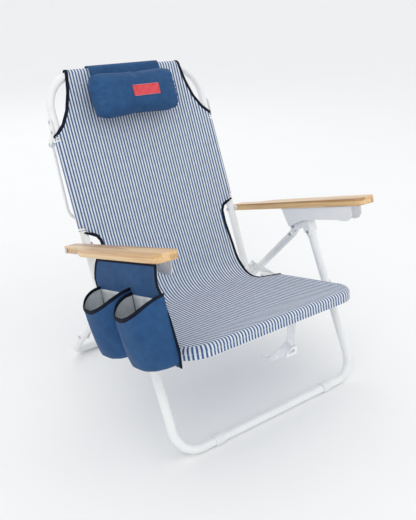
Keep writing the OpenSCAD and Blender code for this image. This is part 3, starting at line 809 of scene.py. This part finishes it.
panel_x = 0.3160
left_edge = [(0.012, 0.213), (0.030, 0.196), (0.060, 0.180), (0.080, 0.184), (0.120, 0.200), (0.175, 0.212),
             (0.225, 0.225)]
right_edge = [(0.012, 0.487), (0.050, 0.477), (0.062, 0.481), (0.075, 0.490), (0.125, 0.505), (0.190, 0.517),
              (0.225, 0.512)]
panel_rows = []
for i in range(31):
    depth = 0.012 + 0.213 * i / 30
    lo, hi = between(left_edge, depth), between(right_edge, depth)
    row = []
    for k in range(41):
        along = lo + (hi - lo) * k / 40
        lean = 0.0012 * sin(along * 60) * min(1, i / 10)
        row.append((on_arm(-panel_x + lean, along, depth), along, depth))
    panel_rows.append(row)
panel = sheet_object("bag_back", panel_rows, canvas, 0.0014)
smooth(panel, 60)
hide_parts("bag_panel")
bag = [panel]
outward = Vector((-1, 0, 0))
for name, run in (("bag_top_tape", [p for p, u, v in panel_rows[0]]),
                  ("bag_rear_tape", [row[0][0] for row in panel_rows]),
                  ("bag_front_tape", [row[-1][0] for row in panel_rows])):
    bag.append(tape(name, run, [outward] * len(run), 0.0050, navy, 0.0013))

# Each pocket: (its node, rear and front of its mouth, rear and front of its foot)
pockets = (("rear", "cup_pocket_rear", 0.198, 0.356, 0.204, 0.356),
           ("front", "cup_pocket_front", 0.360, 0.500, 0.352, 0.514))
mouth_out, foot_out = 0.073, 0.054
across_steps, down_steps = 36, 22


def pocket_point(spec, t, down, inset=0.0):
    """t goes 0 to 1 round the pocket's outside, from its rear seam to its front seam."""
    side, node, m0, m1, f0, f1 = spec
    swell = sin(pi * t) ** 0.62
    lo, hi = m0 + (f0 - m0) * down, m1 + (f1 - m1) * down
    along = (lo + hi) / 2 - (hi - lo) / 2 * cos(pi * t) * (1 - 0.10 * sin(pi * t))
    bulge = (mouth_out + (foot_out - mouth_out) * down + 0.006 * sin(pi * down)) * swell
    top = 0.078 + 0.036 * sin(pi * t) ** 1.2 - 0.010 * (t - 0.5)
    bottom = 0.223 - 0.024 * (1 - sin(pi * t))
    depth = top + (bottom - top) * down
    crumple = 0.0012 * sin(9 * t + 4 * down) + 0.0008 * sin(23 * t - 7 * down)
    return on_arm(-panel_x - 0.0012 - max(0, bulge - inset + crumple * swell), along, depth)


for spec in pockets:
    side = spec[0]
    rows = []
    for i in range(down_steps + 1):
        rows.append([(pocket_point(spec, k / across_steps, i / down_steps), 0.22 * k / across_steps,
                      0.13 * i / down_steps) for k in range(across_steps + 1)])
    # The foot curls under and meets the panel
    for shrink, drop in ((0.90, 0.0045), (0.72, 0.0075), (0.45, 0.0088), (0.15, 0.0092)):
        row = []
        for k in range(across_steps + 1):
            p = pocket_point(spec, k / across_steps, 1.0)
            base = hinge.x - panel_x
            p = Vector((base + (p.x - base) * shrink, p.y + drop * sin(arm_slope) * -1, p.z - drop))
            row.append((p, 0.22 * k / across_steps, 0.14))
        rows.append(row)
    shell = sheet_object("pocket_" + side, rows, canvas, 0.0012)
    shell.data.materials.append(lining)
    centre = on_arm(-panel_x - 0.022, (spec[2] + spec[3]) / 2, 0.15)
    for p in shell.data.polygons:
        toward_centre = centre - p.center
        toward_centre.z = 0
        if p.normal.dot(toward_centre) > 0:
            p.material_index = 1
    smooth(shell, 60)
    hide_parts(spec[1])
    rim = [p for p, u, v in rows[0]]
    rim_normals = [((p - centre) - Vector((0, 0, (p - centre).z))).normalized() for p in rim]
    bag += [shell, tape("pocket_tape_" + side, rim, rim_normals, 0.0050, navy, 0.0013)]
    back_skin = [[(on_arm(-panel_x - 0.0016, spec[2] + 0.004 + (spec[3] - spec[2] - 0.008) * k / 20,
                          0.085 + 0.140 * i / 16), 0.01 * k, 0.01 * i) for k in range(21)] for i in range(17)]
    inner = sheet_object("pocket_lining_" + side, back_skin, lining, 0.0008)
    bag.append(inner)
for piece in bag:
    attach(piece, "arm_left")

# ---- Carry strap ----
# White polyester webbing sewn under the sling; it hangs beside its ladder-lock buckle, and its
# loose tail curls to one side.
webbing, tree, shader = new_material("webbing", 0.75, Sheen_Weight=0.1)
uvmap = add(tree, "ShaderNodeUVMap", uv_map="cloth").outputs[0]
weave = use(tree, weave_group, Vector=uvmap, Pitch=0.0026)
tree.links.new(ramp(tree, weave["Shade"], (0.25, (0.66, 0.67, 0.72)), (0.8, (0.84, 0.85, 0.88))),
               shader.inputs["Base Color"])
bump(tree, shader, weave["Height"], 0.7, 0.0006)
strap_lo, strap_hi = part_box("carry_strap")
strap_width, strap_length = 0.026, 0.126
tail_width, tail_length = 0.024, 0.080
strap_top = Vector((strap_hi[0], (strap_lo[1] + strap_hi[1]) / 2, strap_hi[2]))
strap_rows = []
for i in range(31):
    t = i / 30
    row = []
    for k in range(7):
        p = Vector((strap_top.x - strap_width * k / 6 + 0.004 * sin(3 * t),
                    strap_top.y + 0.004 * sin(pi * t) + 0.0016 * cos(k), strap_top.z - strap_length * t))
        row.append((p, strap_width * k / 6, strap_length * t))
    strap_rows.append(row)
strap = sheet_object("strap_web", strap_rows, webbing, 0.0015)
tail_rows = []
for i in range(31):
    t = i / 30
    turn = radians(25) + radians(150) * t ** 1.5
    x = strap_top.x - 0.020 - tail_length * t
    z = strap_top.z - 0.095 - 0.018 * sin(pi * t * 0.8) + 0.004 * t
    up = Vector((0.15, cos(turn) * 0.8, sin(turn))).normalized()
    row = []
    for k in range(7):
        p = Vector((x, strap_top.y - 0.002, z)) + up * (tail_width * (k / 6 - 0.5))
        row.append((p, tail_width * k / 6, 0.09 * t))
    tail_rows.append(row)
tail = sheet_object("strap_tail", tail_rows, webbing, 0.0015)
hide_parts("carry_strap")
for piece in (strap, tail):
    smooth(piece, 60)
    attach(piece, "seat")
